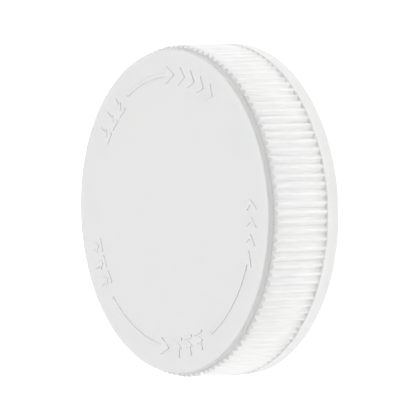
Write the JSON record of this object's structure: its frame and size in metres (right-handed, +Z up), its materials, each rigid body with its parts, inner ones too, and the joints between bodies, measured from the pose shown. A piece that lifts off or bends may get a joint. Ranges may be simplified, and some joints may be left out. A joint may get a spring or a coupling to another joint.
{
  "type": "child-resistant cap",
  "caption": "Push-down-and-turn closure for a wide jar: a ribbed round outer shell that spins freely over a threaded inner cap with drive lugs and a sealing liner.",
  "frame": {"origin": "centre of the open rim, on the plane that the cap stands on", "axes": "+Z up along the cap's axis, from the open rim to the closed top; +X and +Y lie in the rim's plane, with a drive lug of the shell on +X"},
  "size_m": [0.0768, 0.0768, 0.0191],
  "materials": {
    "shell_plastic": "moulded white polypropylene, satin",
    "inner_plastic": "moulded natural white polypropylene, satin",
    "liner_foam": "soft white foamed polyethylene"
  },
  "bodies": {
    "outer_shell": {"outer_shell": "shell_plastic"},
    "liner": {"liner": "liner_foam"},
    "inner_cap": {"inner_cap": "inner_plastic"}
  },
  "joints": [
    {"name": "push", "type": "slide", "parent": "outer_shell", "child": "liner", "axis": [0, 0, 1], "range_m": [0, 0.0016]},
    {"name": "turn", "type": "hinge", "parent": "liner", "child": "inner_cap", "pos_m": [0, 0, 0], "axis": [0, 0, 1], "continuous": true}
  ]
}
